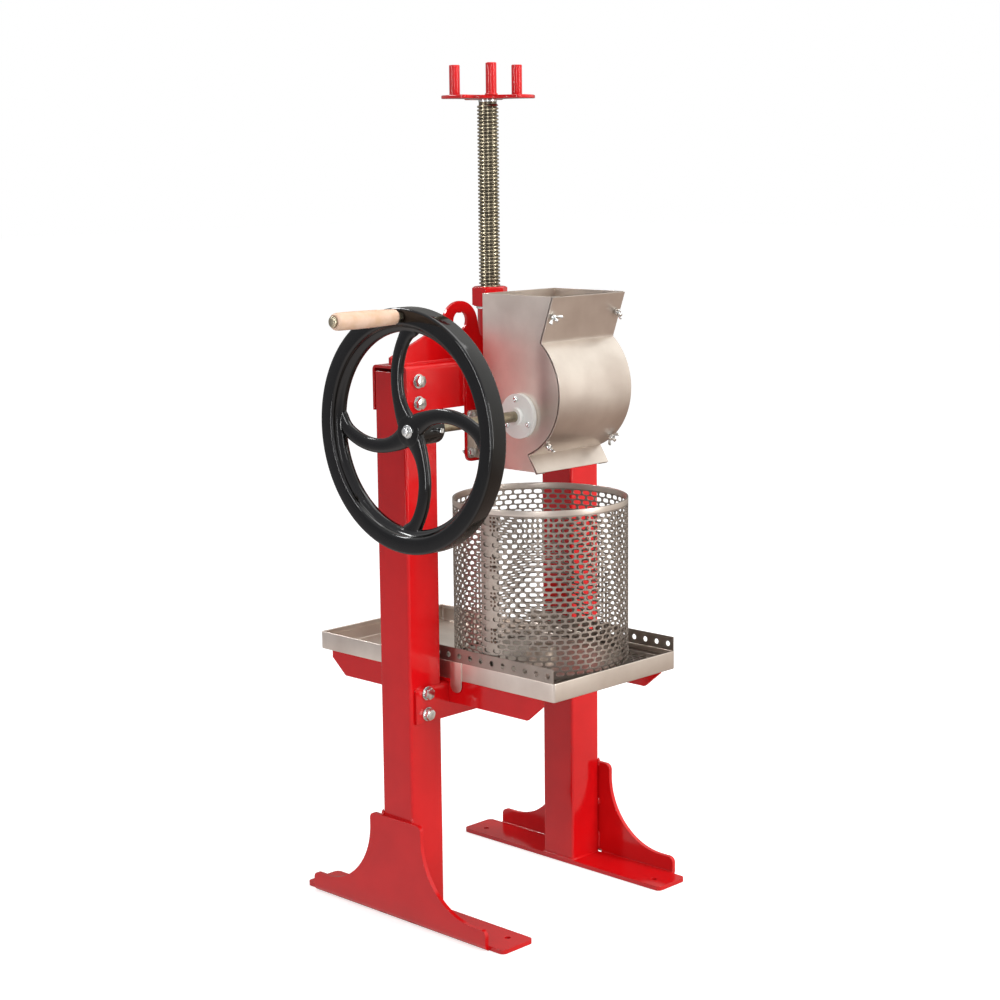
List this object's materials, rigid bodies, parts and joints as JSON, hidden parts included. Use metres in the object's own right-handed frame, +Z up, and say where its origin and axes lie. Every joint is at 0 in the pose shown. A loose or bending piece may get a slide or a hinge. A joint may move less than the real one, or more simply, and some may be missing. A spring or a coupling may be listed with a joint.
{
  "type": "cider press",
  "caption": "Floor-standing cider press: screw in a bolted two-post frame, crank-turned fruit grinder with a curved-spoke flywheel, slotted basket on a drain plate and tray.",
  "frame": {"origin": "on the floor, at the centre of the four anchor holes, under the screw", "axes": "+Z up along the screw, -Y towards the grinder's cover, -X towards the flywheel"},
  "size_m": [0.7732, 0.6642, 1.514],
  "materials": {
    "red_paint": "gloss powder coat",
    "zinc": "zinc plated",
    "stainless": "satin stainless sheet",
    "black_paint": "gloss black on cast iron",
    "white_plastic": "moulded bearing plastic",
    "steel": "turned steel",
    "maple": "oiled maple"
  },
  "bodies": {
    "frame": {"left_post": "red_paint", "right_post": "red_paint", "left_foot": "red_paint", "right_foot": "red_paint", "top_beam": "red_paint", "middle_beam": "red_paint", "left_arch": "red_paint", "right_arch": "red_paint", "nut_sleeve": "red_paint", "thrust_washer": "zinc", "screw_nut": "red_paint", "mount_plate": "red_paint", "left_rail": "red_paint", "right_rail": "red_paint", "beam_bolts": "zinc", "beam_washers": "zinc", "beam_nuts": "zinc", "mount_bolts": "zinc", "mount_nuts": "zinc", "left_side_plate": "stainless", "right_side_plate": "stainless", "hopper_back": "stainless", "left_bearing": "white_plastic", "right_bearing": "white_plastic", "bearing_screws": "zinc", "cover_studs": "zinc"},
    "grinder": {"drum_shaft": "steel", "drum": "steel", "flywheel": "black_paint", "hub_set_screw": "zinc", "shaft_bolt": "zinc", "crank_bolt": "zinc", "crank_nut": "zinc"},
    "crank_grip": {"grip": "maple"},
    "cover": {"hopper_cover": "stainless"},
    "knob_ul": {"knob_upper_left": "zinc"},
    "knob_ur": {"knob_upper_right": "zinc"},
    "knob_ll": {"knob_lower_left": "zinc"},
    "knob_lr": {"knob_lower_right": "zinc"},
    "shoe": {"thrust_shoe": "zinc"},
    "screw": {"press_screw": "steel", "screw_collar": "zinc", "handle_disc": "red_paint", "handle_pegs": "red_paint"},
    "tray": {"tray": "stainless"},
    "drain": {"drain_plate": "stainless"},
    "basket": {"basket": "stainless"},
    "plate": {"press_plate": "stainless", "plate_cup": "stainless"}
  },
  "joints": [
    {"name": "grinder_turn", "type": "hinge", "parent": "frame", "child": "grinder", "pos_m": [0, -0.161, 0.91], "axis": [1, 0, 0], "continuous": true},
    {"name": "grip_spin", "type": "hinge", "parent": "grinder", "child": "crank_grip", "pos_m": [-0.44, -0.15508, 1.09851], "axis": [1, 0, 0], "continuous": true},
    {"name": "cover_off", "type": "slide", "parent": "frame", "child": "cover", "axis": [0, -0.829, -0.5592], "range_m": [0, 0.025]},
    {"name": "knob_ul_turn", "type": "hinge", "parent": "cover", "child": "knob_ul", "pos_m": [-0.082, -0.22706, 1.08501], "axis": [0, -0.829, -0.5592], "continuous": true},
    {"name": "knob_ur_turn", "type": "hinge", "parent": "cover", "child": "knob_ur", "pos_m": [0.082, -0.22706, 1.08501], "axis": [0, -0.829, -0.5592], "continuous": true},
    {"name": "knob_ll_turn", "type": "hinge", "parent": "cover", "child": "knob_ll", "pos_m": [-0.082, -0.21311, 0.86299], "axis": [0, -0.829, -0.5592], "continuous": true},
    {"name": "knob_lr_turn", "type": "hinge", "parent": "cover", "child": "knob_lr", "pos_m": [0.082, -0.21311, 0.86299], "axis": [0, -0.829, -0.5592], "continuous": true},
    {"name": "screw_travel", "type": "slide", "parent": "frame", "child": "shoe", "axis": [0, 0, -1], "range_m": [0, 0.3]},
    {"name": "screw_turn", "type": "hinge", "parent": "shoe", "child": "screw", "pos_m": [0, 0, 0.9], "axis": [0, 0, -1], "range_deg": [0, 17000]},
    {"name": "tray_slide", "type": "slide", "parent": "frame", "child": "tray", "axis": [0, -1, 0], "range_m": [0, 0.015]},
    {"name": "drain_slide", "type": "slide", "parent": "tray", "child": "drain", "axis": [0, 1, 0], "range_m": [0, 0.1205]},
    {"name": "basket_lift", "type": "slide", "parent": "drain", "child": "basket", "axis": [0, 0, 1], "range_m": [0, 0.04]},
    {"name": "plate_lift", "type": "slide", "parent": "drain", "child": "plate", "axis": [0, 0, 1], "range_m": [0, 0.04]}
  ],
  "couplings": [
    {"joint": "screw_travel", "follows": "screw_turn", "m_per_rad": 0.0010106}
  ]
}
